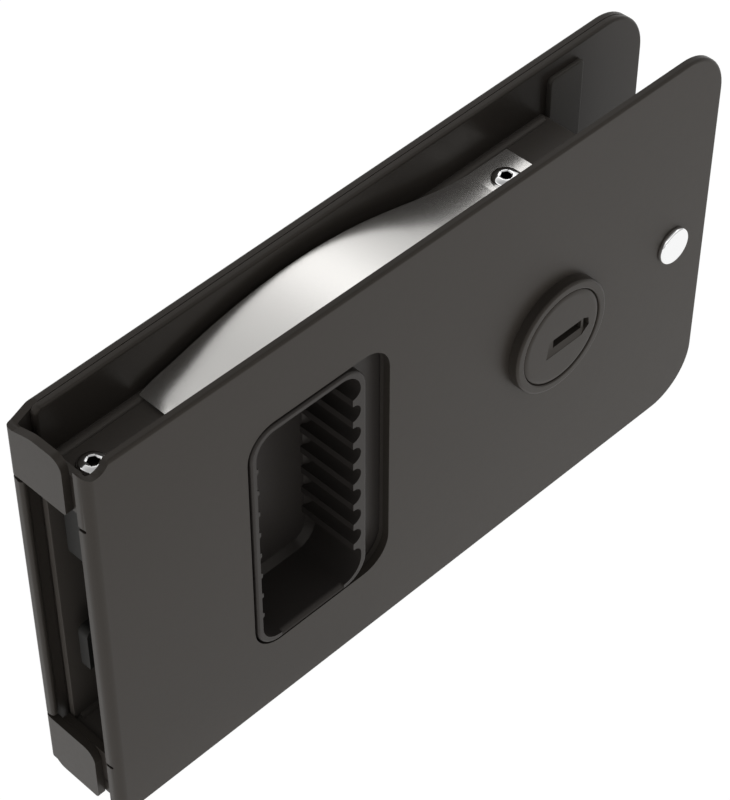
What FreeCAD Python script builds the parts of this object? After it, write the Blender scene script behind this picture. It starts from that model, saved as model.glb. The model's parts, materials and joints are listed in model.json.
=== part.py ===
import FreeCAD, Part
import math
import os

V = FreeCAD.Vector
os.makedirs("parts", exist_ok=True)

# Flush pull latch for a sliding door, millimetres.
# Working frame: x along the plates from the latching end, y from the outer
# face of the front plate towards the rear, z up from the plates' bottom edge.

# plates
PLATE_LEN = 160.0
PLATE_H = 91.0
SHEET = 1.6
BODY_DEPTH = 20.0
REAR_LEN = PLATE_LEN - 1.2
FLARE_DEG = 0.95
CORNER_R = 11.5
REAR_CORNER_RUN = 5.9
REAR_CORNER_Z = 2.1
LOW_CORNER_Z = 1.2
LOW_TAB_Z = 0.3
LOW_FREE_Y = 6.3
REAR_BEND_R = 1.2
SHOULDER_RUN = 5.0
EDGE_R = 0.65
BEND_R = 2.0
LINER_T = 1.6
LINER_X = 4.25
GRIP_X0 = PLATE_LEN - 29.85
GRIP_X1 = PLATE_LEN - 20.1
GRIP_T = 1.0
GRIP_MARGIN = 3.4

# end tabs and mouth
TAB_Z0 = 0.75
TAB_Z1 = 13.2
TAB_FREE_Y = 5.8
JOG_X = SHEET + 0.05
FRONT_TAB_Y = BODY_DEPTH - 3.2
FRONT_TAB_IN = 4.5
FRONT_LIP_Y = 2.8
SLIT = 0.8
SCOOP_R = 3.0
SCOOP_X = 2.5
SCOOP_OUT = 1.1

# window and cup
WIN_X0 = 34.5
WIN_Z0 = 16.8
WIN_Z1 = PLATE_H - WIN_Z0
WIN_R = 6.5
CUP_GAP = 0.6
CUP_LEN = 0.174375 * PLATE_LEN
CUP_WALL = 1.2
CUP_R = 5.5
CUP_FLOOR_Y = BODY_DEPTH - 6.4
CUP_FLOOR_T = 1.0
LIP_PROUD = 0.3
TEETH = 8
TOOTH_PITCH = (WIN_Z1 - WIN_Z0 - 13.8) / TEETH
TOOTH_RISE = 2.0
GROOVE_R = 1.9
TEETH_UP = 0.7
TRAVEL = 5.6
WIN_X1 = WIN_X0 + CUP_LEN + 2.0 * CUP_GAP + TRAVEL
CUP_X0 = WIN_X0 + CUP_GAP
CUP_X1 = CUP_X0 + CUP_LEN
CUP_Z0 = WIN_Z0 + CUP_GAP
CUP_Z1 = WIN_Z1 - CUP_GAP
FLANGE_Y = 2.8
FLANGE_T = 1.2

# case
CASE_X0 = 3.4
BLOCK_X0 = 4.9
CASE_X1 = PLATE_LEN - 30.6
CASE_Z0 = 11.0
CASE_Z1 = PLATE_H - CASE_Z0
CASE_T = 1.2
CASE_FRONT_Y = SHEET + 0.02
CASE_FRONT_T = 1.08
COVER_T = 1.2
RAIL_R = 1.2
RAIL_X0 = CASE_X0 + 1.2
RAIL_X1 = CASE_X1 - 1.4

# guide blocks and claw
BLOCK_Y0 = 5.4
BLOCK_Y1 = BODY_DEPTH - 6.6
BLOCK_X1 = 27.0
UPPER_Z0 = PLATE_H - 32.0
LOWER_Z0 = 29.3
LOWER_Z1 = 39.3
CLAW_T = 3.0
CLAW_Y = 7.9
CLAW_X = 16.0
CLAW_Z = 30.0
CLAW_TAIL = 14.8
CLAW_TAIL_R = 1.6
PIN_R = 1.5

# lock
LOCK_X = PLATE_LEN - 45.8
LOCK_Z = PLATE_H / 2.0 + 0.1
COLLAR_R = 12.7
COLLAR_PROUD = 2.3
CORE_R = 10.65
SLEEVE_R = 11.6
PLUG_R = 6.4
CAM_Y0 = BODY_DEPTH - 7.8
BARREL_Y1 = CAM_Y0 - 0.3
CAM_T = 2.0
CAM_REACH = 14.3
KEY_TURN = 90.0
NUT_AF = 27.0
TAIL_HALF = 2.0
RUN_GAP = 0.06
FIT_GAP = 0.02

# clamp stud and screws
STUD_X = PLATE_LEN - 10.9
STUD_Z = PLATE_H / 2.0 + 0.5
STUD_HEAD_R = 4.1
STUD_HEAD_T = 1.25
STUD_BARREL_R = 3.0
STUD_THREAD_R = 2.0
HEAD_R = 2.6
HEAD_H = 1.65
HEX_AF = 2.0
HEX_DEPTH = 1.1
RECESS_R = 3.05
RECESS = 0.95
SCREW_X = 9.5
SCREW_Y = BODY_DEPTH / 2.0 - 0.2

# leaf spring
LEAF_Y0 = 2.9
LEAF_Y1 = BODY_DEPTH - 4.1
LEAF_T = 0.65
LEAF_SCREW_X = CASE_X1 - 19.4
LEAF_SCREW_Y = SCREW_Y
LEAF_HOLE_R = 3.05
LEAF_SEAT_R = 3.7
LEAF_SEAT_T = 0.5
LEAF_LINE = [(25.0, 0.75), (27.0, 1.75), (31.0, 2.75), (35.0, 3.7), (39.0, 4.72),
             (43.0, 5.6), (47.0, 6.3), (51.0, 6.85), (55.0, 7.25), (59.0, 7.48),
             (63.0, 7.55), (67.0, 7.43), (71.0, 7.12), (75.0, 6.62), (79.0, 5.95),
             (83.0, 5.13), (88.0, 3.92), (93.0, 2.7), (98.0, 1.65), (102.0, 1.0),
             (105.5, LEAF_T)]
LEAF_X1 = LEAF_SCREW_X + 6.2

# hidden drive
SPRING_Z = LOCK_Z + 6.4
SPRING_Y = 8.0
SPRING_R = 2.9
SPRING_WIRE = 0.45
SPRING_TURNS = 7
STOP_ROOM = LOCK_X - NUT_AF / 2.0 - WIN_X1
STOP_X = WIN_X1 + 0.7238 * STOP_ROOM
STOP_FOOT = 0.32 * STOP_ROOM
STOP_T = 1.5
STOP_HALF = 9.0
SLIDE_Z0 = LOCK_Z - 15.6
SLIDE_Z1 = LOCK_Z - 3.6
SLIDE_X1 = LOCK_X - 10.6
FOOT_Y0 = 5.4
FOOT_Y = (FOOT_Y0 + CAM_Y0) / 2.0 - 0.1
FOOT_RIVETS = [SLIDE_Z0 + 3.0, SLIDE_Z0 + 9.0]
LINK_X1 = CUP_X1 - 4.0
LINK_RIVETS = [WIN_X0 + 13.0, LINK_X1 - 3.5]
FAR = 3.0 * BODY_DEPTH


def at(a, b, plane, level):
    if plane == "xz":
        return V(a, level, b)
    if plane == "xy":
        return V(a, b, level)
    return V(level, a, b)


def outline(points, plane, level):
    corners = []
    count = len(points)
    for i in range(count):
        here = points[i]
        back = points[i - 1]
        ahead = points[(i + 1) % count]
        r = here[2] if len(here) > 2 else 0.0
        if r <= 0.0:
            corners.append([(here[0], here[1])])
            continue
        ax = back[0] - here[0]
        ay = back[1] - here[1]
        bx = ahead[0] - here[0]
        by = ahead[1] - here[1]
        la = math.hypot(ax, ay)
        lb = math.hypot(bx, by)
        ax, ay, bx, by = ax / la, ay / la, bx / lb, by / lb
        half = math.acos(max(-1.0, min(1.0, ax * bx + ay * by))) / 2.0
        run = r / math.tan(half)
        mx = ax + bx
        my = ay + by
        lm = math.hypot(mx, my)
        reach = r / math.sin(half) - r
        corners.append([
            (here[0] + ax * run, here[1] + ay * run),
            (here[0] + mx / lm * reach, here[1] + my / lm * reach),
            (here[0] + bx * run, here[1] + by * run),
        ])
    edges = []
    for i in range(count):
        corner = corners[i]
        if len(corner) == 3:
            p = [at(q[0], q[1], plane, level) for q in corner]
            edges.append(Part.Arc(p[0], p[1], p[2]).toShape())
        start = at(corner[-1][0], corner[-1][1], plane, level)
        nxt = corners[(i + 1) % count][0]
        end = at(nxt[0], nxt[1], plane, level)
        if start.distanceToPoint(end) > 1e-5:
            edges.append(Part.makeLine(start, end))
    return Part.Wire(edges)


def prism(points, plane, lo, hi):
    face = Part.Face(outline(points, plane, lo))
    step = hi - lo
    if plane == "xz":
        return face.extrude(V(0, step, 0))
    if plane == "xy":
        return face.extrude(V(0, 0, step))
    return face.extrude(V(step, 0, 0))


def rect(a0, b0, a1, b1, r=0.0):
    return [(a0, b0, r), (a1, b0, r), (a1, b1, r), (a0, b1, r)]


def box(x0, y0, z0, x1, y1, z1):
    return Part.makeBox(x1 - x0, y1 - y0, z1 - z0, V(x0, y0, z0))


def rod(axis, a, b, lo, hi, r):
    if axis == "x":
        return Part.makeCylinder(r, hi - lo, V(lo, a, b), V(1, 0, 0))
    if axis == "y":
        return Part.makeCylinder(r, hi - lo, V(a, lo, b), V(0, 1, 0))
    return Part.makeCylinder(r, hi - lo, V(a, b, lo), V(0, 0, 1))


def soften(shape, r, wanted):
    edges = [e for e in shape.Edges if wanted(e)]
    if not edges:
        return shape
    try:
        done = shape.makeFillet(r, edges)
    except Exception:
        return shape
    if done.isValid() and done.Volume > 0.0:
        return done
    return shape


def bevel(shape, r, wanted):
    edges = [e for e in shape.Edges if wanted(e)]
    if not edges:
        return shape
    try:
        done = shape.makeChamfer(r, edges)
    except Exception:
        return shape
    if done.isValid() and done.Volume > 0.0:
        return done
    return shape


def on_y(level):
    def wanted(edge):
        b = edge.BoundBox
        return abs(b.YMin - level) < 1e-4 and abs(b.YMax - level) < 1e-4
    return wanted


def on_z(level):
    def wanted(edge):
        b = edge.BoundBox
        return abs(b.ZMin - level) < 1e-4 and abs(b.ZMax - level) < 1e-4
    return wanted


def swing(shape):
    turned = shape.copy()
    turned.rotate(V(0, BODY_DEPTH, 0), V(0, 0, 1), FLARE_DEG)
    return turned


def rear_y(x, level):
    return level + x * math.tan(math.radians(FLARE_DEG))


def one(shape):
    clean = shape.removeSplitter()
    if len(clean.Solids) == 1:
        return clean.Solids[0]
    return max(clean.Solids, key=lambda s: s.Volume)


def mirror_z(z):
    return PLATE_H - z


def hex_points(a, b, across, turned=0.0):
    r = across / math.sqrt(3.0)
    return [(a + r * math.cos(math.radians(60 * k + turned)),
             b + r * math.sin(math.radians(60 * k + turned))) for k in range(6)]


def front_plate():
    pts = [(BEND_R, 0, 0), (PLATE_LEN, 0, CORNER_R),
           (PLATE_LEN, PLATE_H, CORNER_R), (BEND_R, PLATE_H, 0)]
    sheet = prism(pts, "xz", 0, SHEET)

    def outer(edge):
        b = edge.BoundBox
        return on_y(0)(edge) and b.XMax > BEND_R + 1.0
    sheet = soften(sheet, EDGE_R, outer)
    inner_r = BEND_R - SHEET
    lip = [(BEND_R, 0, 0), (BEND_R, SHEET, 0), (SHEET, SHEET, inner_r),
           (SHEET, FRONT_LIP_Y, 0), (0, FRONT_LIP_Y, 0), (0, 0, BEND_R)]
    bend = prism(lip, "xy", 0, PLATE_H)
    plate = sheet.fuse(bend)
    jog = [(0, 2.4), (JOG_X, 4.6), (JOG_X, FRONT_TAB_Y), (JOG_X + SHEET, FRONT_TAB_Y),
           (JOG_X + SHEET, 4.6), (SHEET, 2.4)]
    lo = FRONT_TAB_IN
    for z0, z1 in ((lo, TAB_Z1), (mirror_z(TAB_Z1), mirror_z(lo))):
        tab = prism(jog, "xy", z0, z1)
        plate = plate.fuse(tab)
    win = prism(rect(WIN_X0, WIN_Z0, WIN_X1, WIN_Z1, WIN_R), "xz", -1, SHEET + 1)
    plate = plate.cut(win)
    plate = plate.cut(rod("y", LOCK_X, LOCK_Z, -1, SHEET + 1, SLEEVE_R + FIT_GAP))
    plate = plate.cut(rod("y", STUD_X, STUD_Z, -1, SHEET + 1, STUD_BARREL_R + FIT_GAP))
    for z in (-SCOOP_OUT, PLATE_H + SCOOP_OUT):
        plate = plate.cut(rod("y", SCOOP_X, z, -1, FRONT_LIP_Y + 0.4, SCOOP_R))
    for z in (TAB_Z1 + 0.4, mirror_z(TAB_Z1 + 0.1) - SLIT):
        slit = box(-1, 1.5, z, SHEET + 0.3, FRONT_LIP_Y + 1, z + SLIT)
        plate = plate.cut(slit.fuse(rod("x", 1.5, z + SLIT / 2, -1, SHEET + 0.3, SLIT / 2)))
    return one(plate)


def rear_outline(x0, left_r):
    return [(x0, 0, left_r), (REAR_LEN, 0, CORNER_R),
            (REAR_LEN, PLATE_H, CORNER_R), (x0, PLATE_H, left_r)]


def rear_holes(y0, y1):
    cuts = [rod("y", LOCK_X, LOCK_Z, y0, y1, 4.2),
            rod("y", STUD_X, STUD_Z, y0, y1, STUD_BARREL_R + 0.1)]
    return cuts[0].fuse(cuts[1])


def rear_plate():
    y0 = BODY_DEPTH - SHEET
    sheet = prism(rear_outline(BEND_R, 0.0), "xz", y0, BODY_DEPTH)

    def outer(edge):
        b = edge.BoundBox
        return on_y(BODY_DEPTH)(edge) and b.XMax > BEND_R + 1.0
    sheet = soften(sheet, EDGE_R, outer)
    sheet = swing(sheet)
    yo = rear_y(BEND_R + 0.2, BODY_DEPTH)
    yi = rear_y(BEND_R + 0.2, y0)
    turn = [(BEND_R + 0.2, yo, 0), (0, BODY_DEPTH, REAR_BEND_R), (0, y0 - 0.6, 0),
            (SHEET, y0 - 0.6, 0), (SHEET, y0, 0), (BEND_R + 0.2, yi, 0)]
    bend = prism(turn, "xy", 0, PLATE_H)
    plate = sheet.fuse(bend)
    mouth = box(-1, -1, TAB_Z1, SHEET + 0.4, y0, mirror_z(TAB_Z1))
    plate = plate.cut(mouth)
    for flip in (False, True):
        zc = REAR_CORNER_Z if flip else LOW_CORNER_Z
        tab = [(y0 - 0.4, zc, 0), (y0 - 1.8, LOW_TAB_Z, 3.0), (LOW_FREE_Y, LOW_TAB_Z, 0.9),
               (LOW_FREE_Y, TAB_Z1, 2.8), (y0 - 0.4, TAB_Z1, 0)]
        if flip:
            tab = [(y0 - 0.4, zc, 0), (y0 - SHOULDER_RUN, TAB_Z0, 8.0), (TAB_FREE_Y, TAB_Z0, 2.7),
                   (TAB_FREE_Y, TAB_Z1, 0.7), (y0 - 0.4, TAB_Z1, 0)]
            tab = [(p[0], mirror_z(p[1]), p[2]) for p in tab]
        plate = plate.fuse(prism(tab, "yz", 0, SHEET))
        corner = [(-1, -1, 0), (-1, zc, 0), (REAR_BEND_R, zc, 2.0), (REAR_CORNER_RUN, 0, 5.0),
                  (REAR_CORNER_RUN + 6.0, 0, 0), (REAR_CORNER_RUN + 6.0, -1, 0)]
        if flip:
            corner = [(p[0], mirror_z(p[1]), p[2]) for p in corner]
        plate = plate.cut(prism(corner, "xz", y0 - 0.62, BODY_DEPTH + 1))
    for z in (TAB_Z1 + 0.1, mirror_z(TAB_Z1 + 0.1) - SLIT):
        slit = box(-1, 0, z, 1.2, BODY_DEPTH + 1, z + SLIT)
        slit = slit.fuse(rod("y", 1.2, z + SLIT / 2, 0, BODY_DEPTH + 1, SLIT / 2))
        plate = plate.cut(slit)
    plate = plate.cut(rear_holes(y0 - 1, BODY_DEPTH + 5))
    return one(plate)


def rear_liner():
    y1 = BODY_DEPTH - SHEET - 0.01
    liner = prism(rear_outline(LINER_X, 1.5), "xz", y1 - LINER_T, y1)
    liner = bevel(liner, 0.35, on_y(y1 - LINER_T))
    liner = swing(liner)
    return one(liner.cut(rear_holes(BODY_DEPTH - 5, BODY_DEPTH + 5)))


def grip_strip():
    y1 = BODY_DEPTH - SHEET - LINER_T - 0.03
    pts = rect(GRIP_X0, GRIP_MARGIN, GRIP_X1, PLATE_H - GRIP_MARGIN, 1.2)
    strip = prism(pts, "xz", y1 - GRIP_T, y1)
    strip = bevel(strip, 0.25, on_y(y1 - GRIP_T))
    return one(swing(strip))


COVER_Y1 = BODY_DEPTH - SHEET - LINER_T - 0.05
COVER_Y0 = COVER_Y1 - COVER_T
COVER_SCREWS = [(20.0, UPPER_Z0 + 5.0), (24.3, LOWER_Z0 + 2.2),
                (CASE_X1 - 5.6, CASE_Z0 + 6.0), (CASE_X1 - 5.6, CASE_Z1 - 6.0)]


def rails(extra):
    top = rod("x", COVER_Y0, CASE_Z1 - 0.6, RAIL_X0 - extra, RAIL_X1 + extra,
              RAIL_R + extra)
    low = rod("x", COVER_Y0, CASE_Z0 + 0.6, RAIL_X0 - extra, RAIL_X1 + extra,
              RAIL_R + extra)
    return top.fuse(low)


def case_cover():
    pts = rect(CASE_X0, CASE_Z0, CASE_X1, CASE_Z1, 0.8)
    sheet = prism(pts, "xz", COVER_Y0, COVER_Y1)
    cover = swing(sheet.fuse(rails(0.0)))
    cover = cover.cut(rod("y", LOCK_X, LOCK_Z, 0, FAR, 4.2))
    for x, z in COVER_SCREWS:
        y = rear_y(x, COVER_Y1)
        cover = cover.cut(rod("y", x, z, 0, FAR, 1.25))
        cover = cover.cut(rod("y", x, z, y - 0.75, FAR, 2.45))
    return one(cover)


def case_shell():
    y1 = CASE_FRONT_Y + CASE_FRONT_T
    body = box(CASE_X0, CASE_FRONT_Y, CASE_Z0, CASE_X1, FAR, CASE_Z1)
    body = soften(body, 0.6, lambda e: on_z(CASE_Z1)(e) and e.BoundBox.XMin > CASE_X1 - 0.01)
    inner = box(CASE_X0 - 1, y1, CASE_Z0 + CASE_T, CASE_X1 - CASE_T, FAR + 1, CASE_Z1 - CASE_T)
    shell = body.cut(inner)
    boss = rod("z", LEAF_SCREW_X, LEAF_SCREW_Y, CASE_Z1 - 9.0, CASE_Z1 - 0.5, LEAF_SEAT_R + 1.3)
    shell = shell.fuse(boss)
    for x, z in COVER_SCREWS[2:]:
        shell = shell.fuse(rod("y", x, z, CASE_FRONT_Y + 0.5, FAR, 2.8))
    beyond = swing(box(-5, COVER_Y0 - FIT_GAP, -5, PLATE_LEN + 10, FAR + 5, PLATE_H + 10))
    shell = shell.cut(beyond.fuse(swing(rails(0.05))))
    win = prism(rect(WIN_X0 - 0.2, WIN_Z0 - 0.2, WIN_X1 + 0.2, WIN_Z1 + 0.2, WIN_R + 0.2),
                "xz", 0, y1 + 1)
    shell = shell.cut(win)
    shell = shell.cut(rod("y", LOCK_X, LOCK_Z, 0, y1 + 0.5, SLEEVE_R + FIT_GAP))
    shell = shell.cut(rod("z", SCREW_X, SCREW_Y, CASE_Z1 - 3, CASE_Z1 + 1, 1.6))
    shell = shell.cut(rod("z", SCREW_X, SCREW_Y, CASE_Z1 - RECESS, CASE_Z1 + 1, RECESS_R))
    shell = shell.cut(rod("z", LEAF_SCREW_X, LEAF_SCREW_Y, CASE_Z1 - 8, CASE_Z1 + 1, 1.52))
    shell = shell.cut(rod("z", LEAF_SCREW_X, LEAF_SCREW_Y, CASE_Z1 - RECESS - LEAF_SEAT_T,
                          CASE_Z1 + 1, LEAF_SEAT_R + 0.02))
    for x, z in COVER_SCREWS[2:]:
        shell = shell.cut(rod("y", x, z, rear_y(x, COVER_Y0) - 6.2, FAR, 1.22))
    for x, z in BLOCK_RIVETS + STOP_RIVETS:
        shell = shell.cut(rod("y", x, z, 0, y1 + 1, 1.22))
        shell = shell.cut(rod("y", x, z, 0, CASE_FRONT_Y + 0.6, 2.3))
    return one(shell)


BLOCK_RIVETS = [(24.3, LOWER_Z0 + 2.2), (20.0, UPPER_Z0 + 5.0)]
STOP_RIVETS = [(STOP_X - 0.6 * STOP_FOOT, SPRING_Z - 6.0), (STOP_X - 0.6 * STOP_FOOT, SPRING_Z + 6.0)]


def flush_rivet(x, z, depth):
    y0 = CASE_FRONT_Y + 0.02
    head = rod("y", x, z, y0, CASE_FRONT_Y + 0.58, 2.25)
    return one(head.fuse(rod("y", x, z, y0, y0 + depth, 1.2)))


def upper_block():
    y1 = CASE_FRONT_Y + CASE_FRONT_T + FIT_GAP
    z1 = CASE_Z1 - CASE_T - FIT_GAP
    block = box(BLOCK_X0, BLOCK_Y0, UPPER_Z0, BLOCK_X1, BLOCK_Y1, z1)
    block = block.fuse(box(BLOCK_X0 + 5, y1, UPPER_Z0, BLOCK_X1, BLOCK_Y1, z1))
    block = soften(block, 0.8, lambda e: on_z(UPPER_Z0)(e) and e.BoundBox.XMax < BLOCK_X0 + 0.01)
    x, z = COVER_SCREWS[0]
    top = rear_y(x, COVER_Y0) - 0.1
    block = block.fuse(rod("y", x, z, BLOCK_Y1 - 1, top, 2.8))
    block = block.cut(rod("y", x, z, top - 6.0, top + 1, 1.22))
    block = block.cut(rod("z", SCREW_X, SCREW_Y, CASE_Z1 - 11.5, CASE_Z1, 1.52))
    x, z = BLOCK_RIVETS[1]
    block = block.cut(rod("y", x, z, 0, y1 + 5.2, 1.22))
    return one(block)


def lower_block():
    y1 = CASE_FRONT_Y + CASE_FRONT_T + FIT_GAP
    block = box(BLOCK_X0, BLOCK_Y0, LOWER_Z0, BLOCK_X1, BLOCK_Y1, LOWER_Z1)
    block = soften(block, 1.6, lambda e: on_z(LOWER_Z1)(e) and e.BoundBox.XMax < BLOCK_X0 + 0.01)
    block = block.fuse(box(BLOCK_X0 + 5, y1, LOWER_Z0 - 5.3, BLOCK_X1, BLOCK_Y1, LOWER_Z1))
    gap = 0.05
    slot = box(BLOCK_X0 - 1, CLAW_Y - gap, LOWER_Z0 - 10, BLOCK_X1 - 5.2,
               CLAW_Y + CLAW_T + gap, LOWER_Z1 + 10)
    block = block.cut(slot)
    x, z = COVER_SCREWS[1]
    top = rear_y(x, COVER_Y0) - 0.1
    block = block.fuse(rod("y", x, z, BLOCK_Y1 - 1, top, 2.6))
    block = block.cut(rod("y", x, z, top - 5.0, top + 1, 1.22))
    x, z = BLOCK_RIVETS[0]
    block = block.cut(rod("y", x, z, 0, y1 + 5.2, 1.22))
    block = block.cut(rod("y", CLAW_X, CLAW_Z, 0, FAR, PIN_R + 0.01))
    return one(block)


def claw_pin():
    pin = rod("y", CLAW_X, CLAW_Z, 3.4, BLOCK_Y1 + 0.3, PIN_R)
    return one(bevel(pin, 0.25, lambda e: True))


def latch_claw():
    y0 = CLAW_Y
    y1 = CLAW_Y + CLAW_T
    hub = rod("y", CLAW_X, CLAW_Z, y0, y1, 4.0)
    nose = [(19.0, 31.5, 0), (12.5, 36.6, 1.5), (11.4, 39.0, 1.0), (11.0, 41.4, 1.2),
            (7.3, 41.8, 1.3), (6.3, 38.2, 1.0), (8.0, 33.5, 2.0), (12.5, 28.5, 0)]
    arm = prism(nose, "xz", y0, y1)
    tip_z = CLAW_Z - CLAW_TAIL
    tail = prism([(CLAW_X - 2.6, CLAW_Z), (CLAW_X - 1.1, tip_z), (CLAW_X + 1.1, tip_z),
                  (CLAW_X + 2.6, CLAW_Z)], "xz", y0, y1)
    tip = rod("y", CLAW_X, tip_z, y0, y1, CLAW_TAIL_R)
    claw = hub.fuse([arm, tail, tip])
    claw = claw.cut(rod("y", CLAW_X, CLAW_Z, y0 - 1, y1 + 1, PIN_R + RUN_GAP))
    return one(claw)




def pull_cup():
    back = CUP_FLOOR_Y + CUP_FLOOR_T
    body = prism(rect(CUP_X0, CUP_Z0, CUP_X1, CUP_Z1, CUP_R), "xz", -LIP_PROUD, back)
    body = soften(body, 0.5, on_y(-LIP_PROUD))
    body = bevel(body, 0.9, on_y(back))
    flange = prism(rect(WIN_X0 - TRAVEL - 0.9, CUP_Z0 - 2.4, WIN_X1 + 1.5, CUP_Z1 + 2.4, 2.0),
                   "xz", FLANGE_Y, FLANGE_Y + FLANGE_T)
    lug = box(WIN_X0 + 9.5, 6.9, WIN_Z0 - 0.15, LINK_X1, 11.9, CUP_Z0 + 1.0)
    body = body.fuse([flange, lug])
    x0 = CUP_X0 + CUP_WALL
    x1 = CUP_X1 - CUP_WALL - 0.2
    z0 = CUP_Z0 + CUP_WALL
    z1 = CUP_Z1 - CUP_WALL
    pocket = prism(rect(x0, z0, x1, z1, CUP_R - 0.9), "xz", -3, CUP_FLOOR_Y)
    pocket = bevel(pocket, 1.4, on_y(CUP_FLOOR_Y))
    mid = (CUP_Z0 + CUP_Z1) / 2.0 + TEETH_UP
    first = mid - TOOTH_PITCH * (TEETH - 1) / 2.0
    tip = x1 - TOOTH_RISE
    half = TOOTH_PITCH * TEETH / 2.0
    comb = box(tip, -3, mid - half, x1 + 0.6, CUP_FLOOR_Y + 0.5, mid + half)
    for k in range(TEETH + 1):
        z = mid - half + k * TOOTH_PITCH
        comb = comb.cut(rod("y", tip + 0.1, z, -4, CUP_FLOOR_Y + 1, GROOVE_R))
    comb = comb.cut(box(x1, -4, z0 - 1, x1 + 1, CUP_FLOOR_Y + 1, z1 + 1))
    ribs = []
    for k in range(TEETH):
        z = first + k * TOOTH_PITCH
        rib = [(x0 - 0.6, z - 0.9), (x0 - 0.6, z + 0.9), (x0 + 0.4, z + 0.5),
               (x0 + 0.4, z - 0.5)]
        ribs.append(prism(rib, "xz", -3, CUP_FLOOR_Y + 0.5))
    pocket = pocket.cut(comb.Solids[0].fuse(comb.Solids[1:] + ribs))
    lip = box(x0 + CUP_R - 0.9, -3, CUP_Z0, x1 - CUP_R + 0.9, CUP_WALL - LIP_PROUD, z0 + 0.1)
    lip = lip.cut(rod("x", CUP_WALL - LIP_PROUD, CUP_Z0, CUP_X0, CUP_X1, CUP_WALL))
    cup = body.cut(pocket.fuse(lip))
    for x in LINK_RIVETS:
        cup = cup.cut(rod("z", x, CLAW_Y + CLAW_T / 2, CASE_Z0 - 1, CUP_Z0 + 0.9, 0.9))
    for z in FOOT_RIVETS:
        cup = cup.cut(rod("x", FOOT_Y, z, x1 + 0.4, CUP_X1 + 2.0, 0.9))
    return one(cup)


def slide_plate():
    y0 = CAM_Y0
    y1 = CAM_Y0 + CAM_T
    x0 = CUP_X1 + FIT_GAP
    plate = box(x0, y0, SLIDE_Z0, SLIDE_X1, y1, SLIDE_Z1)
    foot = box(x0, FOOT_Y0, SLIDE_Z0, x0 + 1.6, y1, SLIDE_Z1)
    plate = plate.fuse(foot)
    for shift in (0.0, TRAVEL):
        right = LOCK_X - 11.7 - shift
        notch = [(right + 0.2, SLIDE_Z1 + 0.5), (right, SLIDE_Z1 - 2.4),
                 (right - 2.1, SLIDE_Z1 - 2.4), (right - 2.9, SLIDE_Z1 + 0.5)]
        plate = plate.cut(prism(notch, "xz", y0 - 1, y1 + 1))
    for z in FOOT_RIVETS:
        plate = plate.cut(rod("x", FOOT_Y, z, x0 - 1, x0 + 3, 0.9))
    return one(plate)


def foot_rivet(z):
    x0 = CUP_X1 + FIT_GAP + 1.6 + 0.01
    head = rod("x", FOOT_Y, z, x0, x0 + 1.0, 1.7)
    head = bevel(head, 0.4, lambda e: abs(e.BoundBox.XMin - x0 - 1.0) < 1e-4)
    shank = rod("x", FOOT_Y, z, CUP_X1 - 0.9, x0 + 0.2, 0.88)
    return one(head.fuse(shank))


def draw_link():
    y0 = CLAW_Y
    y1 = CLAW_Y + CLAW_T
    z0 = CASE_Z0 + CASE_T + 0.4
    z1 = CUP_Z0 - 0.8
    link = box(BLOCK_X0 + 5.5, y0, z0, LINK_X1, y1, z1)
    half = CLAW_TAIL_R + 0.1
    floor = CLAW_Z - CLAW_TAIL - CLAW_TAIL_R - 0.12
    link = link.cut(box(CLAW_X - half, y0 - 1, floor, CLAW_X + half, y1 + 1, z1 + 1))
    for x in LINK_RIVETS:
        link = link.cut(rod("z", x, (y0 + y1) / 2, z0 - 1, z1 + 1, 0.9))
        link = link.cut(rod("z", x, (y0 + y1) / 2, z0 - 1, z0 + 0.8, 1.32))
    return one(link)


def link_rivet(x):
    y = CLAW_Y + CLAW_T / 2
    z0 = CASE_Z0 + CASE_T + 0.42
    head = rod("z", x, y, z0, z0 + 0.76, 1.3)
    return one(head.fuse(rod("z", x, y, z0, CUP_Z0 + 0.8, 0.88)))


def spring_stop():
    y0 = CASE_FRONT_Y + CASE_FRONT_T + FIT_GAP
    x1 = STOP_X + STOP_T
    foot = box(STOP_X - STOP_FOOT, y0, SPRING_Z - STOP_HALF, x1, y0 + STOP_T, SPRING_Z + STOP_HALF)
    wall = box(STOP_X, y0, SPRING_Z - STOP_HALF, x1, CAM_Y0 - 0.4, SPRING_Z + STOP_HALF)
    stop = foot.fuse(wall)
    stop = stop.fuse(rod("x", SPRING_Y, SPRING_Z, STOP_X - 3.0, STOP_X + 0.4, 1.9))
    for x, z in STOP_RIVETS:
        stop = stop.cut(rod("y", x, z, 0, y0 + 3, 1.22))
    return one(stop)


def return_spring():
    start = CUP_X1 + SPRING_WIRE + 0.05
    length = STOP_X - 2 * SPRING_WIRE - 0.1 - CUP_X1
    around = 14
    count = SPRING_TURNS * around
    rise = length / (2.0 * math.pi * SPRING_TURNS)
    wires = []
    for k in range(count + 1):
        a = 2.0 * math.pi * k / around
        out = V(0, math.cos(a), math.sin(a))
        way = V(rise, -SPRING_R * math.sin(a), SPRING_R * math.cos(a))
        way.normalize()
        side = way.cross(out)
        mid = V(start + length * k / count, SPRING_Y, SPRING_Z).add(out * SPRING_R)
        ring = []
        for q in range(6):
            b = math.radians(60 * q)
            ring.append(mid.add(out * (SPRING_WIRE * math.cos(b))).add(
                side * (SPRING_WIRE * math.sin(b))))
        wires.append(Part.makePolygon(ring + [ring[0]]))
    return Part.makeLoft(wires, True, True)


def lock_collar():
    y0 = -COLLAR_PROUD
    flange = rod("y", LOCK_X, LOCK_Z, y0, -0.01, COLLAR_R)
    flange = bevel(flange, 0.4, on_y(y0))
    sleeve = rod("y", LOCK_X, LOCK_Z, -0.5, 5.4, SLEEVE_R)
    collar = flange.fuse(sleeve)
    collar = collar.cut(rod("y", LOCK_X, LOCK_Z, -FAR, FAR, CORE_R + RUN_GAP))
    return one(collar)


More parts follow.
